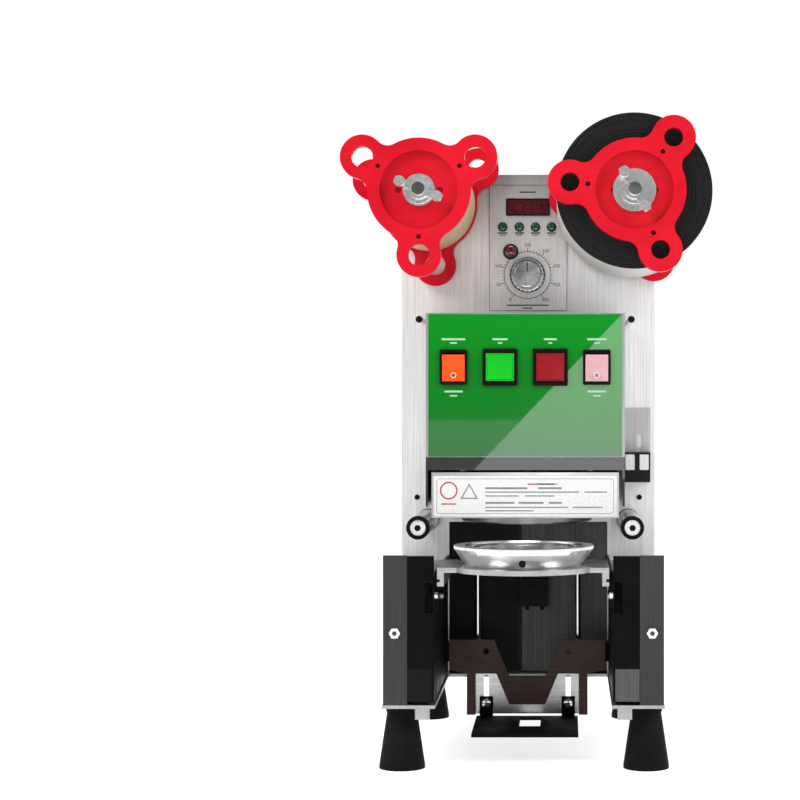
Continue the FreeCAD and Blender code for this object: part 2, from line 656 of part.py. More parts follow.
def carriage_plate():
    """Nosed plate with a slider bar on each side; the rails' tongues run in the bars' grooves."""
    nose = rod_z(PLATE_NOSE_R, 0, RING_Y, (PLATE_LOW, PLATE_TOP))
    wide = box((-PLATE_HALF_W, PLATE_HALF_W), (PLATE_SHOULDER_Y, PLATE_BACK_Y),
               (PLATE_LOW, PLATE_TOP))
    bar = box((SLIDER_INNER, PLATE_HALF_W), (PLATE_SHOULDER_Y, PLATE_BACK_Y), (168, PLATE_LOW))
    groove = box((73.6, PLATE_HALF_W + 1), (PLATE_SHOULDER_Y - 1, PLATE_BACK_Y + 1),
                 (172 - 0.4, 174 + 0.4))
    hole = rod_z(CUP_BORE_R + 1, 0, RING_Y, (PLATE_LOW - 1, PLATE_TOP + 1))
    return union([nose, wide] + mirrored(bar.cut(groove))).cut(hole)


def carriage_screws():
    """Set screw in the ring's front and the pan heads that hold the ring from below."""
    set_screw = rod_y(3.1, 0, SET_SCREW_Z, (RING_Y - RING_FOOT_R - 6, RING_Y - CUP_BORE_R - 3))
    places = [polar(0, RING_Y, RING_SCREW_CIRCLE, a) for a in (210, 250, 290, 330)]
    return [set_screw] + [rod_z(2.2, x, y, (PLATE_LOW - 2.5, PLATE_LOW)) for x, y in places]


def slide_rails():
    web = box((76.6, GUARD_INNER), (-146, 46), (164, 179.4))
    tongue = box((74, 76.6), (-146, 46), (172, 174))
    return mirrored(web.fuse(tongue))


# ---------------------------------------------------------------- cup rest
def guide_rods():
    return mirrored(rod_z(ROD_R, ROD_X, ROD_Y, (80, ROD_TOP)))


def rod_brackets():
    """Top bar on two arms, the clamps at the rods' feet and the plate's side brackets."""
    back = PANEL_FACE + SHEET
    arms = mirrored(box((44, 56), (ROD_Y + 4, back), (170, 177.5)))
    bar = union([box((-60, 60), (ROD_Y - 4, ROD_Y + 4), (170, 177.5))] + arms)
    bar = minus(bar, [rod_z(ROD_R, s * ROD_X, ROD_Y, (160, ROD_TOP)) for s in (-1, 1)])
    clamp = box((44, 56), (PHENOLIC[1], ROD_Y + 5), (78, 96))
    clamp = clamp.cut(rod_z(ROD_R, ROD_X, ROD_Y, (80, 100)))
    side = union([box((62, GUARD_INNER), (PHENOLIC[1], PHENOLIC[1] + 2), (78, 96)),
                  box((GUARD_INNER - 2, GUARD_INNER), (PHENOLIC[1], 34), (78, 96))])
    return [bar] + mirrored(clamp) + mirrored(side)


def phenolic_plate():
    """Brown laminate plate; its notch clears the cup and its legs hold the slotted plate."""
    right = [(17.5, 64), (32, 99.9), (76, 99.9), (76, 70.4), (58.9, 66.8), (58.9, 26.7),
             (50.5, 26.7), (50.5, 66.8), (30, 66.8), (17.5, 36.8)]
    outline = right + [(-x, z) for x, z in reversed(right)]
    plate = prism_y(outline, PHENOLIC)
    deep = (PHENOLIC[0] - 1, PHENOLIC[1] + 1)
    return minus(plate, [rod_y(3, s * SLOT_X, 88.5, deep) for s in (-1, 1)])


def slotted_plate():
    plate = box((-50.5, 50.5), SLOT_PLATE, (27, 72))
    deep = (SLOT_PLATE[0] - 1, SLOT_PLATE[1] + 1)
    notch = box((-26, 26), deep, (62, 73))
    return minus(plate, [notch] + [slot_y(s * SLOT_X, (35, 65), SLOT_W, deep) for s in (-1, 1)])


def cup_platform():
    """Cup rest: shelf with two upright tabs, clamped through the slots by pan screws."""
    shelf = box((-REST_HALF_W, REST_HALF_W), (-101, PHENOLIC[0] - 0.5), (REST_TOP - 3, REST_TOP))
    shelf = shelf.cut(box((-6.5, 13.5), (-56, -4), (REST_TOP - 4, REST_TOP + 1)))
    tab_y = (SLOT_PLATE[0] - GAP - 2, SLOT_PLATE[0] - GAP)
    tongue = box((SLOT_X - 6.5, SLOT_X + 6.5), (PHENOLIC[0] - 0.5, tab_y[1]), (REST_TOP - 3, REST_TOP))
    tab = box((SLOT_X - 6.5, SLOT_X + 6.5), tab_y, (REST_TOP, 44))
    screw = union([rod_y(5, SLOT_X, 38, (tab_y[0] - 3, tab_y[0])),
                   rod_y(2.2, SLOT_X, 38, (tab_y[0], SLOT_PLATE[1] + GAP)),
                   hex_prism_y(4.5, SLOT_X, 38, (SLOT_PLATE[1] + GAP, SLOT_PLATE[1] + 4))])
    return union([shelf] + mirrored(tongue) + mirrored(tab) + mirrored(screw))


# ---------------------------------------------------------------- write every node
os.makedirs("parts", exist_ok=True)

NODES = {
    "cabinet_shell": cabinet_shell(),
    "front_panel": front_panel(),
    "rear_cover": rear_cover(),
    "base_plate": base_plate(),
    "columns": columns(),
    "inner_guards": inner_guards(),
    "feet": feet(),
    "mains_inlet": mains_inlet(),
    "case_screws": case_screws(),
    "control_plate": control_plate(),
    "display_window": display_window(),
    "indicator_lamps": indicator_lamps(),
    "control_board": control_board(),
    "potentiometer": potentiometer(),
    "temperature_knob": temperature_knob(),
    "door_switch": door_switch(),
    "bay_wall": bay_wall(),
    "head_housing": head_housing(),
    "fascia": fascia(),
    "guide_block": guide_block(),
    "post_bushes": post_bushes(),
    "switch_bodies": switch_bodies(),
    "rocker_left": rocker(-ROCKER_X),
    "rocker_right": rocker(ROCKER_X),
    "start_button": push_button(-BUTTON_X),
    "stop_button": push_button(BUTTON_X),
    "seal_gearmotor": seal_gearmotor(),
    "crank": crank(),
    "yoke": yoke(),
    "heater_cover": heater_cover(),
    "label_plate": label_plate(),
    "head_plate": head_plate(),
    "guide_posts": guide_posts(),
    "heater_block": heater_block(),
    "sealing_die": sealing_die(),
    "takeup_shaft": roll_shaft(TAKEUP_X),
    "takeup_flange_front": front_flange(TAKEUP_X, TAKEUP_ANGLE, 10.0),
    "takeup_flange_back": back_flange(TAKEUP_X, TAKEUP_ANGLE + BACK_TURN, 10.0),
    "takeup_film": film(TAKEUP_X, TAKEUP_FILM_R),
    "takeup_wing_nut": wing_nut(TAKEUP_X, 15.0, -22.0),
    "takeup_motor": takeup_motor(),
    "supply_shaft": roll_shaft(SUPPLY_X),
    "supply_flange_front": front_flange(SUPPLY_X, SUPPLY_ANGLE, 8.8),
    "supply_flange_back": back_flange(SUPPLY_X, SUPPLY_ANGLE, 8.8),
    "supply_film": film(SUPPLY_X, SUPPLY_FILM_R),
    "supply_wing_nut": wing_nut(SUPPLY_X, 20.0, -58.0),
    "roll_bearings": roll_bearings(),
    "guide_roller_left": guide_roller(-1),
    "guide_roller_right": guide_roller(1),
    "film_guide_pins": film_guide_pins(),
    "film_sensor": film_sensor(),
    "carriage_plate": carriage_plate(),
    "cup_ring": cup_ring(),
    "carriage_screws": carriage_screws(),
    "slide_rails": slide_rails(),
    "guide_rods": guide_rods(),
    "rod_brackets": rod_brackets(),
    "phenolic_plate": phenolic_plate(),
    "slotted_plate": slotted_plate(),
    "cup_platform": cup_platform(),
}
for name, shapes in NODES.items():
    export(name, shapes)
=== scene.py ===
"""Looks of the cup sealing machine: materials, printed and small parts, light and camera."""
import math
import bmesh
import bpy
from mathutils import Matrix, Vector


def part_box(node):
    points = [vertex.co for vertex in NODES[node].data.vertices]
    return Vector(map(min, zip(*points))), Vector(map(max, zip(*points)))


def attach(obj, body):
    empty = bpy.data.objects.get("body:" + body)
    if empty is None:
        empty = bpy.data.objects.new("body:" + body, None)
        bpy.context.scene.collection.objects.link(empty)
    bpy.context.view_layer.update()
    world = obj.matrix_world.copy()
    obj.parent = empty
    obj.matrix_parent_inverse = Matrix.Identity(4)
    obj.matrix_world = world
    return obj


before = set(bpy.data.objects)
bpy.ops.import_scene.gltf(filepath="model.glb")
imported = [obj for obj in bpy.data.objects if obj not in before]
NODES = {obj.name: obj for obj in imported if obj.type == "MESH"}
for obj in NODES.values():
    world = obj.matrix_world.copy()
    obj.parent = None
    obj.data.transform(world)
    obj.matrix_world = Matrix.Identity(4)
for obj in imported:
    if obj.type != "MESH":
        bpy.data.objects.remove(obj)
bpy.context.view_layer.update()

MM = 0.001
EDGE_ROUND = 0.35 * MM
HARD_EDGE_DEGREES = 35

# Stage: what surfaces see behind the viewer and overhead, the reflection card, and the eye.
ROOM_DARK = 0.10
ROOM_BRIGHT = 0.80
SHEEN = 3.0
EYE_X, EYE_Z = 39 * MM, 323.8 * MM
EYE_DISTANCE = 1.9

# Places shared by several pieces, in millimetres in the row frame.
LAMP_XS = (-25.5, -8.8, 7.3, 23.3)
LAMP_Z = 506.6
JEWEL_X, JEWEL_Z = -17.4, 482
BUTTON_X, ROCKER_X, SWITCH_Z = 23.3, 66.5, 363.5
COLUMN_BOLT_X, COLUMN_BOLT_Z = 115, 124.6
REST_SCREW_X, REST_SCREW_Z = 40, 38
ROLLER_BOLT, UPPER_PIN, PANEL_SCREW = (99.5, 214.5), (98.5, 408.0), (111.0, 236.7)

# Places inside materials, in metres.
ROLL_Z = 0.528
TAKEUP_ROLL_X, SUPPLY_ROLL_X = -0.0985, 0.1015
BAY_SEAM = (-0.009, -0.005)
SENSOR_BLOCK_TOP = (0.2816, 0.2820)


# ------------------------------------------------------------------ node helpers
class Shader:
    """A material being built: a Principled shader and the nodes that feed it."""

    def __init__(self, name, colour, rough, metal=0.0):
        self.material = bpy.data.materials.new(name)
        self.material.use_nodes = True
        self.material.diffuse_color = (*colour, 1)
        self.tree = self.material.node_tree
        self.main = self.tree.nodes["Principled BSDF"]
        self.main.inputs["Base Color"].default_value = (*colour, 1)
        self.main.inputs["Roughness"].default_value = rough
        self.main.inputs["Metallic"].default_value = metal
        self.height = None

    def add(self, kind, **values):
        node = self.tree.nodes.new(kind)
        for key, value in values.items():
            if key in node.inputs:
                node.inputs[key].default_value = value
            else:
                setattr(node, key, value)
        return node

    def link(self, source, target):
        self.tree.links.new(source, target)

    def place(self, scale=(1, 1, 1), location=(0, 0, 0)):
        """Object coordinates, in metres in the row frame, scaled for one texture."""
        coords = self.add("ShaderNodeTexCoord")
        mapping = self.add("ShaderNodeMapping")
        mapping.inputs["Scale"].default_value = scale
        mapping.inputs["Location"].default_value = location
        self.link(coords.outputs["Object"], mapping.inputs["Vector"])
        return mapping.outputs["Vector"]

    def noise(self, scale, stretch=(1, 1, 1), detail=4.0, rough=0.6):
        node = self.add("ShaderNodeTexNoise", Scale=scale, Detail=detail, Roughness=rough)
        self.link(self.place(stretch), node.inputs["Vector"])
        return node.outputs["Fac"]

    def ramp(self, value, stops):
        node = self.add("ShaderNodeValToRGB")
        ramp = node.color_ramp
        while len(ramp.elements) < len(stops):
            ramp.elements.new(0.5)
        for element, (place, colour) in zip(ramp.elements, stops):
            element.position = place
            element.color = (*colour, 1) if len(colour) == 3 else colour
        self.link(value, node.inputs["Fac"])
        return node.outputs["Color"]

    def span(self, value, low, high, from_low=0.3, from_high=0.7):
        node = self.add("ShaderNodeMapRange")
        node.inputs["From Min"].default_value = from_low
        node.inputs["From Max"].default_value = from_high
        node.inputs["To Min"].default_value = low
        node.inputs["To Max"].default_value = high
        self.link(value, node.inputs["Value"])
        return node.outputs["Result"]

    def mix(self, factor, a, b, kind="MIX"):
        node = self.add("ShaderNodeMix", data_type="RGBA", blend_type=kind)
        sockets = {"Factor": node.inputs[0], "A": node.inputs[6], "B": node.inputs[7]}
        for key, value in (("Factor", factor), ("A", a), ("B", b)):
            if isinstance(value, bpy.types.NodeSocket):
                self.link(value, sockets[key])
            elif key == "Factor":
                sockets[key].default_value = value
            else:
                sockets[key].default_value = (*value, 1)
        return node.outputs[2]

    def front_facing(self):
        """1 on faces square to Y, 0 on the others."""
        shape = self.add("ShaderNodeNewGeometry")
        facing = self.add("ShaderNodeSeparateXYZ")
        self.link(shape.outputs["True Normal"], facing.inputs["Vector"])
        flatness = self.add("ShaderNodeMath", operation="ABSOLUTE")
        self.link(facing.outputs["Y"], flatness.inputs[0])
        return self.span(flatness.outputs["Value"], 0, 1, 0.4, 0.6)

    def colour(self, socket):
        self.link(socket, self.main.inputs["Base Color"])

    def roughness(self, socket):
        self.link(socket, self.main.inputs["Roughness"])

    def bump(self, value, strength, depth):
        node = self.add("ShaderNodeBump", Strength=strength, Distance=depth)
        self.link(value, node.inputs["Height"])
        if self.height:
            self.link(self.height, node.inputs["Normal"])
        self.height = node.outputs["Normal"]
        self.link(self.height, self.main.inputs["Normal"])

    def coat(self, weight, rough=0.05):
        self.main.inputs["Coat Weight"].default_value = weight
        self.main.inputs["Coat Roughness"].default_value = rough


def shade(level):
    return (level, level, level)


# ------------------------------------------------------------------ materials
def brushed_steel(name, level=0.55, grain=(900, 900, 12), rough=0.34, metal=1.0, painted_shade_top=0.0, painted_shade_from=0.47,
                  lit_side_level=None):
    """Rolled sheet steel with a fine grain and faint handling marks.

    painted_shade_top is painted shade: it darkens the steel upwards from the height painted_shade_from.
    lit_side_level is the tone of faces that don't face the front or back; faces square to Y keep the darker
    level as a painted dark reflection."""
    s = Shader(name, shade(level), rough, metal)
    fine = s.noise(1.0, grain, detail=3)
    cloud = s.noise(9.0, detail=5)
    tone = s.ramp(fine, [(0.3, shade(level * 0.82)), (0.7, shade(level * 1.12))])
    wear_and_painted_shade = s.mix(s.span(cloud, 0.0, 0.30), tone, shade(level * 0.72))
    # Painted shade: grey mixed in upwards from painted_shade_from, a dark reflection baked into the colour.
    if painted_shade_top:
        coords = s.add("ShaderNodeSeparateXYZ")
        s.link(s.place(), coords.inputs["Vector"])
        high = s.span(coords.outputs["Z"], 0.0, painted_shade_top, painted_shade_from, 0.56)
        wear_and_painted_shade = s.mix(high, wear_and_painted_shade, shade(level * 0.2))
    # Painted reflection: faces square to Y keep the darker level, the other faces take lit_side_level.
    if lit_side_level:
        side = s.ramp(fine, [(0.3, shade(lit_side_level * 0.8)), (0.7, shade(lit_side_level * 1.1))])
        wear_and_painted_shade = s.mix(s.front_facing(), side, wear_and_painted_shade)
    s.colour(wear_and_painted_shade)
    s.roughness(s.span(cloud, rough - 0.06, rough + 0.10))
    s.bump(fine, 0.10, 0.0002)
    return s.material


def polished_steel(name, level=0.78, rough=0.14):
    """Turned and polished steel with hairline marks."""
    s = Shader(name, shade(level), rough, 1.0)
    hair = s.noise(260.0, (1, 1, 6), detail=4)
    smear = s.noise(35.0, detail=3)
    s.colour(s.ramp(hair, [(0.25, shade(level * 0.86)), (0.75, shade(min(1, level * 1.10)))]))
    s.roughness(s.span(smear, rough - 0.05, rough + 0.10))
    s.bump(hair, 0.05, 0.0001)
    return s.material


def machined_aluminium(name, level=0.66, rough=0.28):
    s = Shader(name, shade(level), rough, 1.0)
    lines = s.noise(420.0, (1, 0.1, 1), detail=3)
    s.colour(s.ramp(lines, [(0.3, shade(level * 0.85)), (0.7, shade(level * 1.1))]))
    s.roughness(s.span(s.noise(60.0), rough - 0.08, rough + 0.10))
    s.bump(lines, 0.08, 0.0001)
    return s.material


def bay_sheet(name):
    """The two sheets behind the cup rest: near black on the left, grey on the right."""
    s = Shader(name, shade(0.03), 0.5, 0.3)
    s.main.inputs["Specular IOR Level"].default_value = 0.2
    coords = s.add("ShaderNodeSeparateXYZ")
    s.link(s.place(), coords.inputs["Vector"])
    grain = s.ramp(s.noise(1.0, (500, 500, 10), detail=3), [(0.3, shade(0.06)), (0.7, shade(0.11))])
    s.colour(s.mix(s.span(coords.outputs["X"], 0, 1, *BAY_SEAM), shade(0.004), grain))
    s.roughness(s.span(s.noise(30.0), 0.42, 0.6))
    return s.material


def sensor_body(name):
    """Film sensor: black moulding below, plain steel bracket above."""
    s = Shader(name, shade(0.004), 0.4)
    coords = s.add("ShaderNodeSeparateXYZ")
    s.link(s.place(), coords.inputs["Vector"])
    bracket = s.span(coords.outputs["Z"], 0, 1, *SENSOR_BLOCK_TOP)
    steel = s.ramp(s.noise(1.0, (700, 700, 20)), [(0.3, shade(0.42)), (0.7, shade(0.56))])
    plastic = s.ramp(s.noise(40.0, detail=5), [(0.3, shade(0.003)), (0.7, shade(0.008))])
    s.colour(s.mix(bracket, plastic, steel))
    s.link(bracket, s.main.inputs["Metallic"])
    s.main.inputs["Specular IOR Level"].default_value = 0.2
    s.roughness(s.span(s.noise(60.0), 0.34, 0.48))
    return s.material


def black_paint(name, level=0.0018, rough=0.42, specular=0.07, coat=0.0):
    """Satin black paint with a slight orange-peel skin and patches of dust."""
    s = Shader(name, shade(level), rough)
    s.main.inputs["Specular IOR Level"].default_value = specular
    s.coat(coat, 0.02)
    peel = s.noise(700.0, detail=2)
    dust = s.noise(28.0, detail=6)
    s.colour(s.ramp(dust, [(0.35, shade(level * 0.7)), (0.8, shade(level * 2.2))]))
    s.roughness(s.span(dust, rough - 0.06, rough + 0.14))
    s.bump(peel, 0.12, 0.0002)
    return s.material


def moulded(name, colour, rough=0.32, coat=0.04, grain=900.0):
    """Injection-moulded plastic: even colour, faint flow shading and a fine surface texture."""
    s = Shader(name, colour, rough)
    s.main.inputs["Specular IOR Level"].default_value = 0.12
    flow = s.noise(18.0, detail=4)
    deep = tuple(c * 0.82 for c in colour)
    light = tuple(min(1.0, c * 1.08 + 0.004) for c in colour)
    s.colour(s.ramp(flow, [(0.3, deep), (0.7, light)]))
    s.roughness(s.span(s.noise(75.0), rough - 0.05, rough + 0.09))
    s.bump(s.noise(grain, detail=2), 0.06, 0.0001)
    s.coat(coat, 0.12)
    return s.material


def green_fascia(name):
    """Printed acrylic panel: bright green, with a painted reflection that greys it a little towards its lower
    edge.
    """
    s = Shader(name, (0.0, 0.22, 0.012), 0.3)
    s.main.inputs["Specular IOR Level"].default_value = 0.05
    low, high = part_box("fascia")
    coords = s.add("ShaderNodeSeparateXYZ")
    s.link(s.place(), coords.inputs["Vector"])
    # Painted reflection: the green turns greyer and darker towards the lower edge.
    painted_reflection_rise = s.span(coords.outputs["Z"], 0.0, 1.0, low.z, high.z)
    green = s.ramp(painted_reflection_rise, [(0.0, (0.020, 0.120, 0.032)), (0.35, (0.002, 0.165, 0.010)),
                          (1.0, (0.0, 0.225, 0.010))])
    s.colour(s.mix(s.span(s.noise(40.0, detail=5), 0.0, 0.10), green, (0.01, 0.15, 0.02)))
    s.roughness(s.span(s.noise(90.0), 0.25, 0.35))
    s.coat(1.0, 0.02)
    return s.material


def wound_film(name, roll_x, edge, side, ring_mm=0.9):
    """Film on a roll: rings on its end faces and faint bands round its outside."""
    s = Shader(name, side, 0.42)
    s.main.inputs["Specular IOR Level"].default_value = 0.15
    coords = s.add("ShaderNodeSeparateXYZ")
    s.link(s.place(location=(-roll_x, 0, -ROLL_Z)), coords.inputs["Vector"])
    flat = s.add("ShaderNodeCombineXYZ")
    s.link(coords.outputs["X"], flat.inputs["X"])
    s.link(coords.outputs["Z"], flat.inputs["Z"])
    reach = s.add("ShaderNodeVectorMath", operation="LENGTH")
    s.link(flat.outputs["Vector"], reach.inputs[0])
    wave = s.add("ShaderNodeTexNoise", Scale=1.0, Detail=6.0, Roughness=0.7)
    wave.noise_dimensions = "1D"
    turns = s.add("ShaderNodeMath", operation="MULTIPLY")
    turns.inputs[1].default_value = 1000.0 / ring_mm
    s.link(reach.outputs["Value"], turns.inputs[0])
    s.link(turns.outputs["Value"], wave.inputs["W"])
    rings = s.ramp(wave.outputs["Fac"], [(0.35, tuple(c * 0.55 for c in edge)),
                                         (0.72, tuple(min(1, c * 1.9 + 0.006) for c in edge))])
    band = s.noise(1.0, (4, 160, 4), detail=4)
    outside = s.ramp(band, [(0.3, tuple(c * 0.80 for c in side)), (0.7, side)])
    s.colour(s.mix(s.front_facing(), outside, rings))
    s.bump(wave.outputs["Fac"], 0.25, 0.0003)
    return s.material


def phenolic(name):
    """Brown laminate with a faint cloth weave and fibrous streaks."""
    s = Shader(name, (0.040, 0.015, 0.013), 0.46)
    s.main.inputs["Specular IOR Level"].default_value = 0.25
    fibre = s.noise(1.0, (60, 60, 700), detail=5)
    weave = s.noise(1.0, (900, 900, 900), detail=1)
    s.colour(s.ramp(fibre, [(0.25, (0.022, 0.009, 0.008)), (0.75, (0.056, 0.024, 0.019))]))
    s.roughness(s.span(s.noise(50.0), 0.34, 0.52))
    s.bump(weave, 0.15, 0.0002)
    return s.material


def rubber(name):
    s = Shader(name, shade(0.004), 0.62)
    s.main.inputs["Specular IOR Level"].default_value = 0.07
    s.colour(s.ramp(s.noise(30.0, detail=6), [(0.3, shade(0.003)), (0.8, shade(0.010))]))
    s.roughness(s.span(s.noise(80.0), 0.52, 0.75))
    s.bump(s.noise(600.0, detail=3), 0.18, 0.0003)
    return s.material


def printed(name, colour, rough=0.35):
    """Ink or lacquer for printed marks, with slight wear in its edge of tone."""
    s = Shader(name, colour, rough)
    wear = s.noise(500.0, detail=3)
    s.colour(s.ramp(wear, [(0.25, tuple(c * 0.8 for c in colour)), (0.7, colour)]))
    return s.material


def lamp_glass(name, colour):
    s = Shader(name, colour, 0.12)
    s.colour(s.ramp(s.noise(240.0), [(0.3, tuple(c * 0.5 for c in colour)), (0.7, colour)]))
    s.roughness(s.span(s.noise(90.0), 0.08, 0.2))
    s.bump(s.noise(380.0, detail=1), 0.1, 0.0002)
    s.coat(0.8, 0.03)
    return s.material


PALETTE = {
    # Painted shade darkens the panel upwards from 0.485 m.
    "sheet": brushed_steel("panel_sheet", 0.88, (900, 900, 14), 0.38, 0.42, 0.85, 0.485),
    "sheet_side": brushed_steel("side_sheet", 0.46, (700, 700, 10), 0.38, 0.85),
    # Columns: the near black front faces are a painted dark reflection; their other faces are lighter steel.
    "sheet_column": brushed_steel("column_sheet", 0.065, (900, 900, 12), 0.40, lit_side_level=0.42),
    "cover": brushed_steel("head_cover_sheet", 0.50, (10, 900, 900), 0.30),
    "steel": polished_steel("polished_steel"),
    "ring": polished_steel("ring_polish", 0.86, 0.11),
    "plate": brushed_steel("carriage_sheet", 0.50, (14, 700, 700), 0.26),
    "aluminium": machined_aluminium("machined_aluminium"),
    "knob": machined_aluminium("knob_aluminium", 0.72, 0.24),
    # Painted shade darkens the control plate upwards from 0.455 m.
    "control": brushed_steel("control_plate_silver", 0.88, (700, 700, 40), 0.42, 0.4, 0.88, 0.455),
    "black": black_paint("black_paint"),
    "black_plastic": black_paint("black_plastic", 0.0035, 0.46, 0.1),
    "black_gloss": black_paint("black_gloss", 0.0035, 0.30, 0.1, 1.0),
    "red": moulded("red_plastic", (0.56, 0.002, 0.013)),
    "green": green_fascia("green_fascia"),
    "cap_red": moulded("red_cap", (0.25, 0.001, 0.006), 0.28, 0.12, 200.0),
    "cap_green": moulded("green_cap", (0.001, 0.46, 0.011), 0.28, 0.12, 200.0),
    "cap_orange": moulded("orange_cap", (0.84, 0.080, 0.003), 0.28, 0.12, 200.0),
    "cap_pink": moulded("pink_cap", (0.60, 0.33, 0.36), 0.28, 0.12, 200.0),
    "label": printed("label_white", (0.78, 0.78, 0.77), 0.40),
    "ink": printed("ink_dark", (0.035, 0.035, 0.037)),
    "ink_grey": printed("ink_grey", (0.22, 0.22, 0.23)),
    "ink_red": printed("ink_red", (0.50, 0.030, 0.035)),
    "ink_pale": printed("ink_pale", (0.36, 0.62, 0.38)),
    "window": lamp_glass("display_window", (0.075, 0.004, 0.010)),
    "lamp_green": lamp_glass("lamp_green", (0.010, 0.080, 0.030)),
    "lamp_red": lamp_glass("lamp_red", (0.16, 0.005, 0.010)),
    "phenolic": phenolic("phenolic"),
    "rubber": rubber("foot_rubber"),
    "card": wound_film("card_film", TAKEUP_ROLL_X, (0.30, 0.20, 0.10), (0.62, 0.46, 0.27)),
    "dark_roll": wound_film("dark_film", SUPPLY_ROLL_X, (0.006, 0.006, 0.0065), (0.66, 0.65, 0.63), 1.6),
    "bronze": moulded("bronze_liner", (0.36, 0.20, 0.07), 0.35, 0.0),
    "board": moulded("circuit_board", (0.010, 0.11, 0.040), 0.35, 0.2),
    "bay": bay_sheet("bay_sheet"),
    "bracket": sensor_body("film_sensor_body"),
    "bright": brushed_steel("bright_steel", 0.92, (300, 300, 300), 0.20, 0.80),
    "die": brushed_steel("die_steel", 0.30, (14, 700, 700), 0.30),
}

FINISH = {
    "sheet": "front_panel", "sheet_side": "cabinet_shell rear_cover base_plate head_housing",
    "sheet_column": "columns", "cover": "heater_cover",
    "steel": """case_screws guide_posts crank film_guide_pins guide_rods takeup_shaft
                supply_shaft""",
    "bright": "takeup_wing_nut supply_wing_nut", "die": "sealing_die",
    "ring": "cup_ring", "plate": "carriage_plate slotted_plate",
    "aluminium": "potentiometer roll_bearings head_plate heater_block guide_roller_left guide_roller_right",
    "knob": "temperature_knob", "control": "control_plate",
    "black": "inner_guards rod_brackets yoke seal_gearmotor takeup_motor cup_platform slide_rails",
    "black_gloss": "guide_block",
    "black_plastic": "mains_inlet door_switch switch_bodies carriage_screws", "bracket": "film_sensor",
    "red": "takeup_flange_front takeup_flange_back supply_flange_front supply_flange_back",
    "green": "fascia", "cap_red": "stop_button", "cap_green": "start_button",
    "cap_orange": "rocker_left", "cap_pink": "rocker_right", "label": "label_plate",
    "window": "display_window", "lamp_green": "indicator_lamps", "phenolic": "phenolic_plate",
    "rubber": "feet", "card": "takeup_film", "dark_roll": "supply_film", "bronze": "post_bushes",
    "board": "control_board", "bay": "bay_wall",
}


def smooth_group(degrees=HARD_EDGE_DEGREES):
    """Modifier group that shades faces smooth and keeps edges above the angle hard."""
    group = bpy.data.node_groups.new("smooth_by_angle", "GeometryNodeTree")
    for side in ("INPUT", "OUTPUT"):
        group.interface.new_socket("Geometry", in_out=side, socket_type="NodeSocketGeometry")
    start, end = group.nodes.new("NodeGroupInput"), group.nodes.new("NodeGroupOutput")
    faces, edges = (group.nodes.new("GeometryNodeSetShadeSmooth") for _ in range(2))
    faces.domain, edges.domain = "FACE", "EDGE"
    faces.inputs["Shade Smooth"].default_value = True
    edges.inputs["Shade Smooth"].default_value = False
    angle = group.nodes.new("GeometryNodeInputMeshEdgeAngle")
    sharp = group.nodes.new("FunctionNodeCompare")
    sharp.data_type, sharp.operation = "FLOAT", "GREATER_THAN"
    sharp.inputs[1].default_value = math.radians(degrees)
    group.links.new(angle.outputs["Unsigned Angle"], sharp.inputs[0])
    group.links.new(sharp.outputs["Result"], edges.inputs["Selection"])
    group.links.new(start.outputs[0], faces.inputs["Geometry"])
    group.links.new(faces.outputs["Geometry"], edges.inputs["Geometry"])
    group.links.new(edges.outputs["Geometry"], end.inputs[0])
    return group


def finish_nodes():
    """Gives every CAD node its material, smooth shading and a small edge round, all by modifiers."""
    smoothing = smooth_group()
    for key, names in FINISH.items():
        for name in names.split():
            node = NODES[name]
            node.data.materials.clear()
            node.data.materials.append(PALETTE[key])
            node.modifiers.new("smooth", "NODES").node_group = smoothing
            edge = node.modifiers.new("edge", "BEVEL")
            edge.width = EDGE_ROUND
            edge.segments = 2
            edge.limit_method = "ANGLE"
            edge.angle_limit = math.radians(50)


def smooth_by_angle(obj, degrees=HARD_EDGE_DEGREES):
    """Smooth shading for a piece of this script's own. CAD nodes get theirs from a modifier."""
    mesh = obj.data
    mesh.polygons.foreach_set("use_smooth", [True] * len(mesh.polygons))
    mesh.set_sharp_from_angle(angle=math.radians(degrees))


# ------------------------------------------------------------------ piece helpers
def piece(name, build, material, body):
    """A mesh piece in the row frame. build fills a bmesh."""
    mesh = bpy.data.meshes.new(name)
    bm = bmesh.new()
    build(bm)
    bmesh.ops.recalc_face_normals(bm, faces=bm.faces)
    bm.to_mesh(mesh)
    bm.free()
    obj = bpy.data.objects.new(name, mesh)
    bpy.context.scene.collection.objects.link(obj)
    mesh.materials.append(PALETTE[material])
    smooth_by_angle(obj)
    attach(obj, body)
    return obj


def slab(bm, x, y, z):
    """Block between (low, high) pairs, in metres."""
    size = Vector((x[1] - x[0], y[1] - y[0], z[1] - z[0]))
    centre = Vector((x[0] + x[1], y[0] + y[1], z[0] + z[1])) / 2
    bmesh.ops.create_cube(bm, size=1, matrix=Matrix.Translation(centre) @ Matrix.Diagonal((*size, 1)))


def rounded_bar(bm, cx, cz, half_w, half_h, y, radius, inner=0.0, steps=6):
    """Rounded rectangle facing the front, y = (front, back). inner > 0 leaves a frame of that width."""
    def outline(w, h, r):
        points = []
        for k, (sx, sz) in enumerate(((1, 1), (-1, 1), (-1, -1), (1, -1))):
            for i in range(steps + 1):
                a = math.radians(90 * k + 90 * i / steps)
                points.append((cx + sx * (w - r) + r * math.cos(a), cz + sz * (h - r) + r * math.sin(a)))
        return points
    extrude_outline(bm, outline(half_w, half_h, radius), y,
                    outline(half_w - inner, half_h - inner, max(radius - inner, 0.0002)) if inner else None)


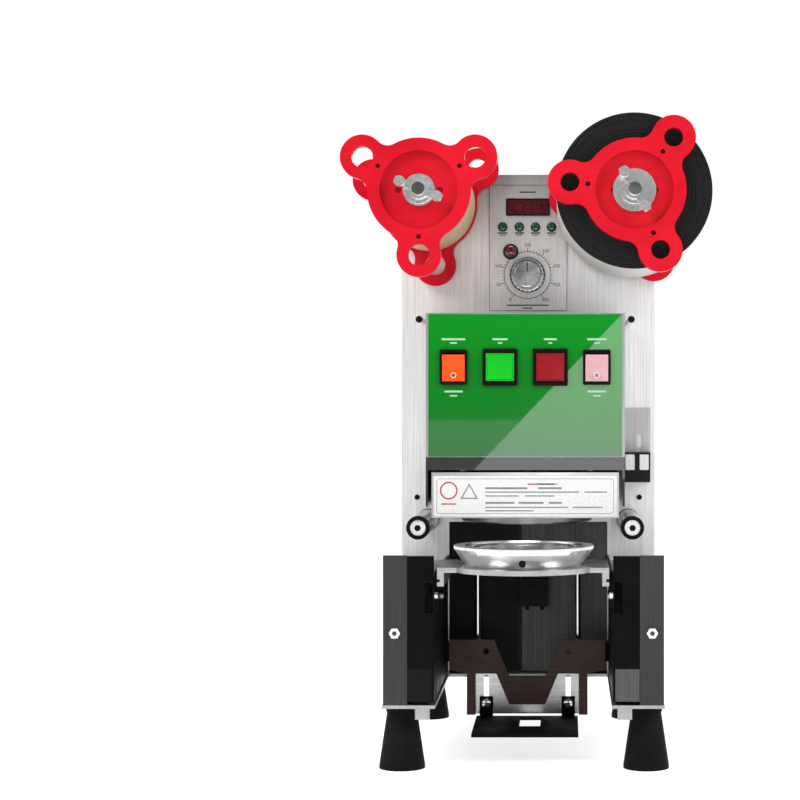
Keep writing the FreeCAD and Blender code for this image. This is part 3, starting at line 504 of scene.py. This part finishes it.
def extrude_outline(bm, outer, y, inner=None):
    """Solid between y = (front, back) from a front-view outline, with an optional matching hole."""
    rings = {}
    for tag, points in (("outer", outer), ("inner", inner or [])):
        for depth in (0, 1):
            rings[tag, depth] = [bm.verts.new((px, y[depth], pz)) for px, pz in points]
    count = len(outer)
    for i in range(count):
        j = (i + 1) % count
        bm.faces.new([rings["outer", 0][i], rings["outer", 0][j], rings["outer", 1][j], rings["outer", 1][i]])
        if inner:
            bm.faces.new([rings["inner", 0][i], rings["inner", 1][i],
                          rings["inner", 1][j], rings["inner", 0][j]])
            for depth in (0, 1):
                bm.faces.new([rings["outer", depth][i], rings["outer", depth][j],
                              rings["inner", depth][j], rings["inner", depth][i]])
    if not inner:
        bm.faces.new(rings["outer", 0])
        bm.faces.new(rings["outer", 1])


def circle(cx, cz, r, count=48):
    return [(cx + r * math.cos(2 * math.pi * i / count), cz + r * math.sin(2 * math.pi * i / count))
            for i in range(count)]


def ring(bm, cx, cz, r_out, r_in, y, count=64):
    extrude_outline(bm, circle(cx, cz, r_out, count), y, circle(cx, cz, r_in, count))


def disc(bm, cx, cz, r, y, count=48):
    extrude_outline(bm, circle(cx, cz, r, count), y)


def lathe_y(bm, cx, cz, profile, count=48):
    """Closed turned form about the line along Y through (cx, cz). profile is (y, radius) points."""
    rows = []
    for py, r in profile:
        if r < 1e-6:
            rows.append([bm.verts.new((cx, py, cz))])
        else:
            rows.append([bm.verts.new((px, py, pz)) for px, pz in circle(cx, cz, r, count)])
    for a, b in zip(rows, rows[1:]):
        for i in range(count):
            j = (i + 1) % count
            quad = [a[i % len(a)], a[j % len(a)], b[j % len(b)], b[i % len(b)]]
            corners = [v for k, v in enumerate(quad) if v not in quad[:k]]
            if len(corners) > 2:
                bm.faces.new(corners)


def text(name, words, size, x, y, z, material, body):
    """Generic dial figure as a thin mesh, centred on (x, z)."""
    curve = bpy.data.curves.new(name, "FONT")
    curve.body = words
    curve.size = size
    curve.extrude = 0.00008
    curve.align_x = "CENTER"
    curve.align_y = "CENTER"
    source = bpy.data.objects.new(name + "_source", curve)
    bpy.context.scene.collection.objects.link(source)
    bpy.context.view_layer.update()
    mesh = bpy.data.meshes.new_from_object(source)
    bpy.data.objects.remove(source)
    mesh.transform(Matrix.Translation((x, y, z)) @ Matrix.Rotation(math.radians(90), 4, "X"))
    mesh.materials.clear()
    mesh.materials.append(PALETTE[material])
    obj = bpy.data.objects.new(name, mesh)
    bpy.context.scene.collection.objects.link(obj)
    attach(obj, body)
    return obj


def middle(node):
    low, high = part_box(node)
    return (low + high) / 2


# ------------------------------------------------------------------ control plate
def control_markings():
    """Outline, dial scale, lamp captions as plain bars, and the display's bezel."""
    low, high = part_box("control_plate")
    face = (low.y - 0.12 * MM, low.y + 0.05 * MM)
    knob = middle("temperature_knob")
    centre = middle("control_plate")

    def border(bm):
        rounded_bar(bm, centre.x, centre.z, (high.x - low.x) / 2 - 0.3 * MM, (high.z - low.z) / 2 - 0.3 * MM,
                    face, 1 * MM, 0.45 * MM)

    def scale(bm):
        ring(bm, knob.x, knob.z, 23.7 * MM, 23.1 * MM, face)

    def ticks(bm):
        for k in range(41):
            a = math.radians(235 - 290 * k / 40)
            long_tick = k % 5 == 0
            start, end = 23.7 * MM, (27.4 if long_tick else 25.8) * MM
            half = (0.30 if long_tick else 0.18) * MM
            along = Vector((math.cos(a), 0, math.sin(a)))
            across = Vector((-along.z, 0, along.x)) * half
            base = Vector((knob.x, 0, knob.z))
            corners = [base + along * start - across, base + along * end - across,
                       base + along * end + across, base + along * start + across]
            extrude_outline(bm, [(c.x, c.z) for c in corners], face)

    def captions(bm):
        for x in LAMP_XS:
            rounded_bar(bm, x * MM, 500.6 * MM, 4.6 * MM, 0.7 * MM, face, 0.3 * MM)
            rounded_bar(bm, x * MM, 498.6 * MM, 3.2 * MM, 0.4 * MM, face, 0.2 * MM)
        for z, half in ((428.5, 21), (425.6, 5)):
            rounded_bar(bm, knob.x, z * MM, half * MM, 0.6 * MM, face, 0.3 * MM)
        rounded_bar(bm, knob.x, 541.5 * MM, 8 * MM, 0.7 * MM, face, 0.3 * MM)

    piece("control_border", border, "ink", "frame")
    piece("dial_ring", scale, "ink", "frame")
    piece("dial_ticks", ticks, "ink", "frame")
    piece("control_captions", captions, "ink", "frame")
    for k in range(9):
        a = math.radians(235 - 290 * k / 8)
        text(f"dial_number_{k}", str(50 * k), 4.6 * MM, knob.x + 30.6 * MM * math.cos(a), face[0] + 0.08 * MM,
             knob.z + 30.0 * MM * math.sin(a), "ink", "frame")

    window = middle("display_window")
    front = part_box("display_window")[0].y

    def bezel(bm):
        rounded_bar(bm, window.x, window.z, 21.9 * MM, 8.6 * MM, (front - 0.5 * MM, low.y), 1 * MM, 1.3 * MM)

    def digits(bm):
        for k in range(3):
            seven_segment(bm, window.x + (k - 1) * 9.5 * MM, window.z, (front - 0.1 * MM, front + 0.1 * MM))

    piece("display_bezel", bezel, "black_plastic", "frame")
    piece("display_segments", digits, "lamp_red", "frame")


def seven_segment(bm, cx, cz, y):
    """One unlit figure-of-eight digit."""
    w, h, t = 2.1 * MM, 4.4 * MM, 0.45 * MM
    for dz in (-h, 0, h):
        slab(bm, (cx - w + t, cx + w - t), y, (cz + dz - t, cz + dz + t))
    for dx in (-w, w):
        for dz in (-h / 2, h / 2):
            slab(bm, (cx + dx - t, cx + dx + t), y, (cz + dz - h / 2 + 1.4 * t, cz + dz + h / 2 - 1.4 * t))


def lamps():
    """Domes on the four lamps and a faceted jewel."""
    low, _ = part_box("control_plate")

    def domes(bm):
        for x in LAMP_XS:
            lathe_y(bm, x * MM, LAMP_Z * MM, dome(low.y - 0.8 * MM, 3.7 * MM, 0.9 * MM))

    def sockets(bm):
        for x in LAMP_XS:
            ring(bm, x * MM, LAMP_Z * MM, 4.7 * MM, 3.7 * MM, (low.y - 1.1 * MM, low.y + 0.1 * MM))
        ring(bm, JEWEL_X * MM, JEWEL_Z * MM, 7.6 * MM, 6.3 * MM, (low.y - 2.2 * MM, low.y + 0.1 * MM))

    def jewel(bm):
        lathe_y(bm, JEWEL_X * MM, JEWEL_Z * MM, dome(low.y - 3.2 * MM, 6.2 * MM, 3.4 * MM), 12)

    piece("lamp_domes", domes, "lamp_green", "frame")
    piece("lamp_sockets", sockets, "black_plastic", "frame")
    piece("lamp_jewel", jewel, "lamp_red", "frame")


def dome(back, r, height, steps=6):
    rows = [(back + 1.0 * MM, 0.0), (back + 1.0 * MM, r)]
    for i in range(steps + 1):
        a = math.radians(90 * i / steps)
        rows.append((back - height * math.sin(a), r * math.cos(a) if i < steps else 0.0))
    return rows


def knob_details():
    """Bright rim, dished centre and pointer line on the temperature knob."""
    low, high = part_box("temperature_knob")
    c = middle("temperature_knob")

    def rim(bm):
        lathe_y(bm, c.x, c.z, [(low.y + 0.6 * MM, 15.2 * MM), (low.y - 0.5 * MM, 14.6 * MM),
                               (low.y - 0.5 * MM, 12.6 * MM), (low.y + 0.2 * MM, 12.0 * MM),
                               (low.y + 0.6 * MM, 12.0 * MM), (low.y + 0.6 * MM, 15.2 * MM)], 64)

    def skirt(bm):
        ring(bm, c.x, c.z, 17.6 * MM, 15.4 * MM, (high.y - 15.5 * MM, high.y - 13.8 * MM))

    def pointer(bm):
        slab(bm, (c.x - 0.6 * MM, c.x + 0.6 * MM), (low.y - 0.2 * MM, low.y + 0.3 * MM),
             (c.z + 3 * MM, c.z + 11.6 * MM))

    piece("knob_rim", rim, "steel", "knob")
    piece("knob_skirt", skirt, "black_plastic", "knob")
    piece("knob_pointer", pointer, "ink", "knob")


# ------------------------------------------------------------------ fascia
def fascia_markings():
    """Captions over the four switches and under the two rockers, as plain bars, and black bezels round the
    switches.
    """
    low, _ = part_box("fascia")
    face = (low.y - 0.10 * MM, low.y + 0.05 * MM)

    def captions(bm):
        for x, w in ((-ROCKER_X, 11), (-BUTTON_X, 7), (BUTTON_X, 6), (ROCKER_X, 9)):
            rounded_bar(bm, x * MM, 389.5 * MM, w * MM, 0.9 * MM, face, 0.4 * MM)
            rounded_bar(bm, x * MM, 386.0 * MM, w * 0.3 * MM, 0.7 * MM, face, 0.3 * MM)
        for x in (-ROCKER_X, ROCKER_X):
            rounded_bar(bm, x * MM, 341.0 * MM, 8.5 * MM, 0.9 * MM, face, 0.4 * MM)
            rounded_bar(bm, x * MM, 337.0 * MM, 3.4 * MM, 0.7 * MM, face, 0.3 * MM)

    piece("fascia_captions", captions, "ink_pale", "frame")
    bezel = (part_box("switch_bodies")[0].y - 0.6 * MM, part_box("switch_bodies")[0].y + 0.6 * MM)

    def bezels(bm):
        for x, half_w, half_h, inner in ((-ROCKER_X, 12.9, 16.4, 1.7), (ROCKER_X, 12.9, 16.4, 1.7),
                                         (-BUTTON_X, 16.3, 17.3, 2.6), (BUTTON_X, 16.3, 17.3, 2.6)):
            rounded_bar(bm, x * MM, SWITCH_Z * MM, half_w * MM, half_h * MM, bezel, 1.6 * MM, inner * MM)

    piece("switch_bezels", bezels, "black_plastic", "frame")


def cap_lenses():
    """Raised inner lens on each push button, and the marks on the rockers."""
    for node, body, colour, slot in (("start_button", "start", "cap_green", "green_cap"),
                                     ("stop_button", "stop", "cap_red", "red_cap")):
        low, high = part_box(node)
        c = (low + high) / 2

        def lens(bm, c=c, low=low):
            rounded_bar(bm, c.x, c.z, 11.4 * MM, 11.2 * MM, (low.y - 0.7 * MM, low.y + 0.3 * MM), 1.5 * MM)
            rounded_bar(bm, c.x, c.z, 13 * MM, 12.7 * MM, (low.y - 0.35 * MM, low.y + 0.3 * MM),
                        1.2 * MM, 1.2 * MM)

        obj = piece(node + "_lens", lens, colour, body)
        soften(obj, 0.3 * MM)

    for node, body in (("rocker_left", "left_rocker"), ("rocker_right", "right_rocker")):
        low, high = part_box(node)
        c = (low + high) / 2

        def marks(bm, c=c, low=low):
            ring(bm, c.x, c.z - 7.0 * MM, 2.6 * MM, 1.9 * MM, (low.y + 0.6 * MM, low.y + 3.2 * MM), 32)

        piece(node + "_mark", marks, "label", body)


def soften(obj, width, segments=3):
    edge = obj.modifiers.new("edge", "BEVEL")
    edge.width = width
    edge.segments = segments
    edge.limit_method = "ANGLE"
    edge.angle_limit = math.radians(40)


# ------------------------------------------------------------------ label
def label_markings():
    """Border line, a ring, a triangle outline and plain bars on the white plate."""
    low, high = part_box("label_plate")
    face = (low.y - 0.10 * MM, low.y + 0.05 * MM)
    c = middle("label_plate")

    def border(bm):
        rounded_bar(bm, c.x, c.z, (high.x - low.x) / 2 - 2.6 * MM, (high.z - low.z) / 2 - 2.4 * MM,
                    face, 3 * MM, 0.45 * MM)

    def ring_mark(bm):
        ring(bm, -71 * MM, 249 * MM, 8.2 * MM, 6.9 * MM, face)

    def triangle(bm):
        def corners(r):
            return [(-52 * MM + r * math.cos(math.radians(a)), 246 * MM + r * math.sin(math.radians(a)))
                    for a in (90, 210, 330)]
        extrude_outline(bm, corners(9.6 * MM), face, corners(7.4 * MM))

    def bars(bm):
        rows = ((255.0, 30, 12), (251.2, -37, 2), (251.2, 12, 34), (247.6, -37, 50), (247.6, 55, 76),
                (244.0, -37, -6), (244.0, 0, 27), (237.6, -37, -10), (237.6, -6, 17), (237.6, 22, 34),
                (233.4, -37, 40), (233.4, 44, 72), (230.2, -37, 8))
        for z, a, b in rows:
            x0, x1 = sorted((a, b))
            half = 0.9 if z in (251.2, 237.6) else 0.55
            rounded_bar(bm, (x0 + x1) / 2 * MM, z * MM, (x1 - x0) / 2 * MM, half * MM, face, 0.3 * MM)

    def red_bars(bm):
        for x0, x1 in ((2, 27), (-78, -64)):
            z = 255.0 if x0 > 0 else 236.5
            rounded_bar(bm, (x0 + x1) / 2 * MM, z * MM, (x1 - x0) / 2 * MM, 0.6 * MM, face, 0.3 * MM)

    piece("label_border", border, "ink_grey", "seal_head")
    piece("label_ring", ring_mark, "ink_red", "seal_head")
    piece("label_triangle", triangle, "ink_grey", "seal_head")
    piece("label_bars", bars, "ink_grey", "seal_head")
    piece("label_red_bars", red_bars, "ink_red", "seal_head")


# ------------------------------------------------------------------ rollers, screws, feet
def roller_ends():
    """Black end collars at both ends of each roller."""
    for node, body in (("guide_roller_left", "roller_left"), ("guide_roller_right", "roller_right")):
        low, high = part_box(node)
        c = (low + high) / 2

        def collar(bm, c=c, low=low, high=high):
            for front in (low.y - 0.2 * MM, high.y - 5 * MM):
                ring(bm, c.x, c.z, 10.9 * MM, 7.2 * MM, (front, front + 5 * MM))

        piece(node + "_collar", collar, "black_plastic", body)


def fastener_socket_shade_and_ends():
    """Dark hexagons as painted shade in the hex sockets of the roller bolts, and dark ends on the upper pins
    and panel screws.
    """
    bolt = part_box("film_guide_pins")[0].y
    pin_front, screw_front = bolt + 5.8 * MM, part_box("front_panel")[0].y - 1.2 * MM
    # The roller bolt entry paints the shade in their hex sockets as dark hexagons.
    places = [(*ROLLER_BOLT, 3.2, bolt, 6), (*UPPER_PIN, 3.1, pin_front, 24),
              (*PANEL_SCREW, 2.7, screw_front, 24)]

    def marks(bm):
        for x, z, r, y, count in places:
            for s in (-1, 1):
                disc(bm, s * x * MM, z * MM, r * MM, (y - 0.12 * MM, y + 0.3 * MM), count)

    piece("fastener_socket_shade_and_ends", marks, "black_plastic", "frame")


def column_trim():
    """Paler lower bands on the guards as a painted reflection of the floor, and washers for the column bolts
    with dark hexagons as painted shade in their hex sockets.
    """
    low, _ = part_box("columns")

    def washers(bm):
        for s in (-1, 1):
            ring(bm, s * COLUMN_BOLT_X * MM, COLUMN_BOLT_Z * MM, 5.6 * MM, 2.2 * MM,
                 (low.y - 0.6 * MM, low.y + 0.1 * MM))

    # Painted shade: dark hexagons on the bolt heads stand for the shade in their hex sockets.
    def sockets(bm):
        for s in (-1, 1):
            disc(bm, s * COLUMN_BOLT_X * MM, COLUMN_BOLT_Z * MM, 2.3 * MM,
                 (low.y - 3.3 * MM, low.y - 2.8 * MM), 6)

    # Painted reflection: paler bands on the lower guards stand in for the floor reflected in them.
    def floor_reflection_strips(bm):
        for s in (-1, 1):
            x0, x1 = sorted((s * 82 * MM, s * 103.6 * MM))
            slab(bm, (x0, x1), (low.y - 0.25 * MM, low.y + 0.1 * MM), (63.6 * MM, 92.4 * MM))

    piece("column_washers", washers, "sheet_column", "frame")
    piece("column_bolt_socket_shade", sockets, "ink", "frame")
    piece("guard_floor_reflection", floor_reflection_strips, "bay", "frame")


def platform_screw_slot_shade():
    """Pan screw heads on the cup rest, with dark cross bars on them as painted shade in their cross recesses.
    """
    # Painted shade: the dark bars stand for the shade inside the screws' cross recesses.
    def slot_shade(bm):
        for s in (-1, 1):
            for w, h in ((3.2, 0.5), (0.5, 3.2)):
                slab(bm, ((s * REST_SCREW_X - w) * MM, (s * REST_SCREW_X + w) * MM), (6.3 * MM, 7.0 * MM),
                     ((REST_SCREW_Z - h) * MM, (REST_SCREW_Z + h) * MM))

    def heads(bm):
        for s in (-1, 1):
            lathe_y(bm, s * REST_SCREW_X * MM, REST_SCREW_Z * MM,
                    [(6.9 * MM, 0), (6.9 * MM, 5 * MM), (6.8 * MM, 4.6 * MM),
                     (6.45 * MM, 3.4 * MM), (6.4 * MM, 0)])

    piece("platform_screw_heads", heads, "steel", "cup_rest")
    piece("platform_screw_slot_shade", slot_shade, "ink", "cup_rest")


def foot_rings():
    """Moulded rib round the top of each foot."""
    def ribs(bm):
        for x, y in ((110.5, -124.0), (106.5, 161.0)):
            for s in (-1, 1):
                turned_z(bm, s * x * MM, y * MM, [(12.5, 51.0), (14.6, 51.4), (14.6, 53.8), (12.5, 54.2)])

    piece("foot_ribs", ribs, "rubber", "frame")


def turned_z(bm, cx, cy, profile, count=48):
    """Closed ring about an upright line from (radius, z) points in millimetres."""
    rows = [[bm.verts.new((cx + r * MM * math.cos(2 * math.pi * i / count),
                           cy + r * MM * math.sin(2 * math.pi * i / count), z * MM))
             for i in range(count)] for r, z in profile]
    for a, b in zip(rows, rows[1:] + rows[:1]):
        for i in range(count):
            j = (i + 1) % count
            bm.faces.new([a[i], a[j], b[j], b[i]])


def sensor_lens():
    """Clear grey lens faces on the film sensor."""
    low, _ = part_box("film_sensor")

    def lens(bm):
        for x0, x1 in ((96.5, 105.5), (110.5, 119.5)):
            rounded_bar(bm, (x0 + x1) / 2 * MM, 272.3 * MM, (x1 - x0) / 2 * MM, 7.6 * MM,
                        (low.y - 0.4 * MM, low.y + 0.1 * MM), 0.8 * MM)

    piece("sensor_lens", lens, "control", "frame")


# ------------------------------------------------------------------ stage
def card(name, location, size, strength, aim, colour=(1, 1, 1)):
    light = bpy.data.lights.new(name, "AREA")
    light.shape = "RECTANGLE"
    light.size, light.size_y = size
    light.energy = strength
    light.color = colour
    obj = bpy.data.objects.new(name, light)
    obj.location = location
    direction = Vector(aim) - Vector(location)
    obj.rotation_euler = direction.to_track_quat("-Z", "Y").to_euler()
    bpy.context.scene.collection.objects.link(obj)
    return obj


def floor():
    mesh = bpy.data.meshes.new("floor")
    bm = bmesh.new()
    slab(bm, (-60, 60), (-60, 60), (-0.02, 0.0))
    bm.to_mesh(mesh)
    bm.free()
    obj = bpy.data.objects.new("floor", mesh)
    bpy.context.scene.collection.objects.link(obj)
    s = Shader("floor_white", shade(0.45), 0.9)
    s.main.inputs["Specular IOR Level"].default_value = 0.0
    s.main.inputs["Emission Color"].default_value = (1, 1, 1, 1)
    s.main.inputs["Emission Strength"].default_value = 0.78
    mesh.materials.append(s.material)


def studio():
    """Pale world for the eye; what surfaces see is bright overhead and dark behind the viewer."""
    world = bpy.data.worlds.new("studio")
    bpy.context.scene.world = world
    world.use_nodes = True
    tree = world.node_tree
    nodes, links = tree.nodes, tree.links
    background = nodes["Background"]
    background.inputs["Strength"].default_value = 1.0
    path = nodes.new("ShaderNodeLightPath")
    coords = nodes.new("ShaderNodeTexCoord")
    axes = nodes.new("ShaderNodeSeparateXYZ")
    links.new(coords.outputs["Generated"], axes.inputs["Vector"])
    depth = nodes.new("ShaderNodeValToRGB")
    depth.color_ramp.elements[0].position = 0.12
    depth.color_ramp.elements[0].color = (*shade(ROOM_DARK), 1)
    depth.color_ramp.elements[1].position = 0.62
    depth.color_ramp.elements[1].color = (*shade(ROOM_BRIGHT), 1)
    half = nodes.new("ShaderNodeMapRange")
    half.inputs["From Min"].default_value = -1.0
    half.inputs["From Max"].default_value = 1.0
    links.new(axes.outputs["Y"], half.inputs["Value"])
    links.new(half.outputs["Result"], depth.inputs["Fac"])
    pick = nodes.new("ShaderNodeMix")
    pick.data_type = "RGBA"
    links.new(path.outputs["Is Camera Ray"], pick.inputs[0])
    links.new(depth.outputs["Color"], pick.inputs[6])
    pick.inputs[7].default_value = (1, 1, 1, 1)
    links.new(pick.outputs[2], background.inputs["Color"])
    target = (0, 0, 0.3)
    card("key", (-1.5, -1.1, 1.8), (0.8, 1.0), 40, target)
    card("fill", (1.6, -1.0, 1.3), (0.7, 1.2), 26, target)
    card("top", (0, -0.1, 2.0), (1.0, 0.8), 14, target)
    card("back", (0.3, 1.8, 1.3), (1.2, 1.2), 12, target)
    card("front", (0.1, -2.3, 0.75), (1.6, 1.0), 5, target).visible_glossy = False
    bpy.context.scene.view_settings.view_transform = "Standard"


def eye_place():
    return Vector((EYE_X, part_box("front_panel")[0].y - EYE_DISTANCE, EYE_Z))


def sheen_card():
    """Card that only reflections see: it lays a pale diagonal across the fascia's lower right."""
    low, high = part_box("fascia")
    eye = eye_place()
    away = 0.5
    reach = away / (low.y - eye.y)

    def seen(x, z):
        return (x + (x - eye.x) * reach, z + (z - eye.z) * reach)

    corners = [seen(high.x, high.z), seen(-55 * MM, low.z - 20 * MM), seen(high.x + 6 * MM, low.z - 20 * MM)]
    mesh = bpy.data.meshes.new("sheen_card")
    mesh.from_pydata([(x, low.y - away, z) for x, z in corners], [], [(0, 1, 2)])
    obj = bpy.data.objects.new("sheen_card", mesh)
    bpy.context.scene.collection.objects.link(obj)
    s = Shader("card_light", shade(1.0), 1.0)
    s.main.inputs["Emission Color"].default_value = (1, 1, 1, 1)
    s.main.inputs["Emission Strength"].default_value = SHEEN
    mesh.materials.append(s.material)
    for ray in ("camera", "diffuse", "transmission", "volume_scatter", "shadow"):
        setattr(obj, "visible_" + ray, False)


def camera():
    """Level view along +Y, shifted so that the machine sits right of the middle of the frame."""
    data = bpy.data.cameras.new("camera")
    data.lens = 85.5
    data.sensor_width = 36.0
    data.shift_x = -0.209
    data.shift_y = 0.0125
    data.clip_end = 50
    obj = bpy.data.objects.new("camera", data)
    obj.location = eye_place()
    obj.rotation_euler = (math.radians(90), 0, 0)
    bpy.context.scene.collection.objects.link(obj)
    bpy.context.scene.camera = obj


finish_nodes()
control_markings()
lamps()
knob_details()
fascia_markings()
cap_lenses()
label_markings()
roller_ends()
fastener_socket_shade_and_ends()
column_trim()
platform_screw_slot_shade()
foot_rings()
sensor_lens()
floor()
studio()
sheen_card()
camera()
